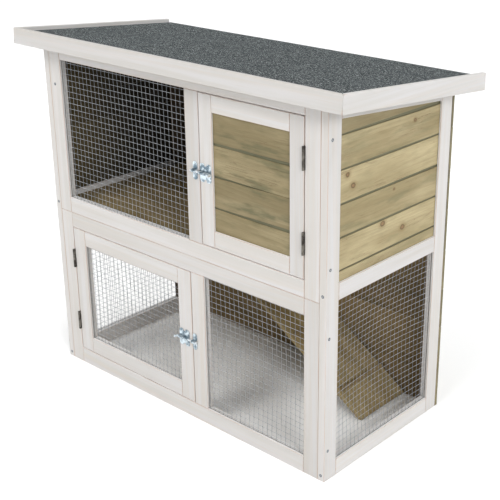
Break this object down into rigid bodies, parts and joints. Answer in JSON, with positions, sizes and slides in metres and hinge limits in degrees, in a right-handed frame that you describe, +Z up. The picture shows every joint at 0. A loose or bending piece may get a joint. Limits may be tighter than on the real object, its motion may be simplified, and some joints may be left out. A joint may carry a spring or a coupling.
{
  "type": "rabbit hutch",
  "caption": "Two-storey rabbit hutch: white timber frames, board cladding, wire-mesh windows, felted lean-to roof, hinged doors with slide bolts, upper floor and an inside ramp.",
  "frame": {"origin": "on the ground, under the middle of the roof's outline", "axes": "+X along the front to the right as seen from the front, +Y from the front face to the back, +Z up"},
  "size_m": [0.9236, 0.4552, 0.799],
  "materials": {
    "white_paint": "white wash over planed pine, satin",
    "pine": "pressure-treated pine boards, matt",
    "felt": "green-grey mineral roofing felt, coarse",
    "wire": "galvanised welded wire, dull",
    "zinc": "bright zinc plate",
    "hinge_steel": "plated steel, satin"
  },
  "bodies": {
    "hutch": {"back_panel": "pine", "floor_batten": "pine", "front_lower_bottom_rail": "white_paint", "front_lower_left_stile": "white_paint", "front_lower_mesh": "wire", "front_lower_mullion": "white_paint", "front_lower_right_stile": "white_paint", "front_lower_top_rail": "white_paint", "front_upper_bottom_rail": "white_paint", "front_upper_left_stile": "white_paint", "front_upper_mesh": "wire", "front_upper_mullion": "white_paint", "front_upper_right_stile": "white_paint", "front_upper_top_rail": "white_paint", "left_bottom_rail": "white_paint", "left_cladding": "pine", "left_front_stile": "white_paint", "left_mesh": "wire", "left_middle_rail": "white_paint", "left_rear_stile": "white_paint", "left_top_rail": "white_paint", "lower_bolt_keeper": "zinc", "lower_door_lower_hinge_frame_leaf": "hinge_steel", "lower_door_upper_hinge_frame_leaf": "hinge_steel", "partition": "pine", "ramp": "pine", "right_bottom_rail": "white_paint", "right_cladding": "pine", "right_front_stile": "white_paint", "right_mesh": "wire", "right_middle_rail": "white_paint", "right_rear_stile": "white_paint", "right_top_rail": "white_paint", "roof_board": "pine", "roof_felt": "felt", "roof_front_trim": "white_paint", "roof_left_trim": "white_paint", "roof_right_trim": "white_paint", "upper_bolt_keeper": "zinc", "upper_door_lower_hinge_frame_leaf": "hinge_steel", "upper_door_upper_hinge_frame_leaf": "hinge_steel", "upper_floor": "pine"},
    "upper_door": {"upper_door_bottom_rail": "white_paint", "upper_door_cladding": "pine", "upper_door_left_stile": "white_paint", "upper_door_lower_hinge_door_leaf": "hinge_steel", "upper_door_right_stile": "white_paint", "upper_door_top_rail": "white_paint", "upper_door_upper_hinge_door_leaf": "hinge_steel", "upper_bolt_plate": "zinc"},
    "lower_door": {"lower_door_bottom_rail": "white_paint", "lower_door_left_stile": "white_paint", "lower_door_lower_hinge_door_leaf": "hinge_steel", "lower_door_mesh": "wire", "lower_door_right_stile": "white_paint", "lower_door_top_rail": "white_paint", "lower_door_upper_hinge_door_leaf": "hinge_steel", "lower_bolt_plate": "zinc"},
    "upper_bolt": {"upper_bolt": "zinc"},
    "lower_bolt": {"lower_bolt": "zinc"}
  },
  "joints": [
    {"name": "upper_door_hinge", "type": "hinge", "parent": "hutch", "child": "upper_door", "pos_m": [0.35025, -0.195, 0.578], "axis": [0, 0, 1], "range_deg": [0, 175]},
    {"name": "lower_door_hinge", "type": "hinge", "parent": "hutch", "child": "lower_door", "pos_m": [-0.35025, -0.195, 0.193], "axis": [0, 0, -1], "range_deg": [0, 175]},
    {"name": "upper_bolt_slide", "type": "slide", "parent": "upper_door", "child": "upper_bolt", "axis": [1, 0, 0], "range_m": [0, 0.025]},
    {"name": "lower_bolt_slide", "type": "slide", "parent": "lower_door", "child": "lower_bolt", "axis": [-1, 0, 0], "range_m": [0, 0.025]}
  ]
}
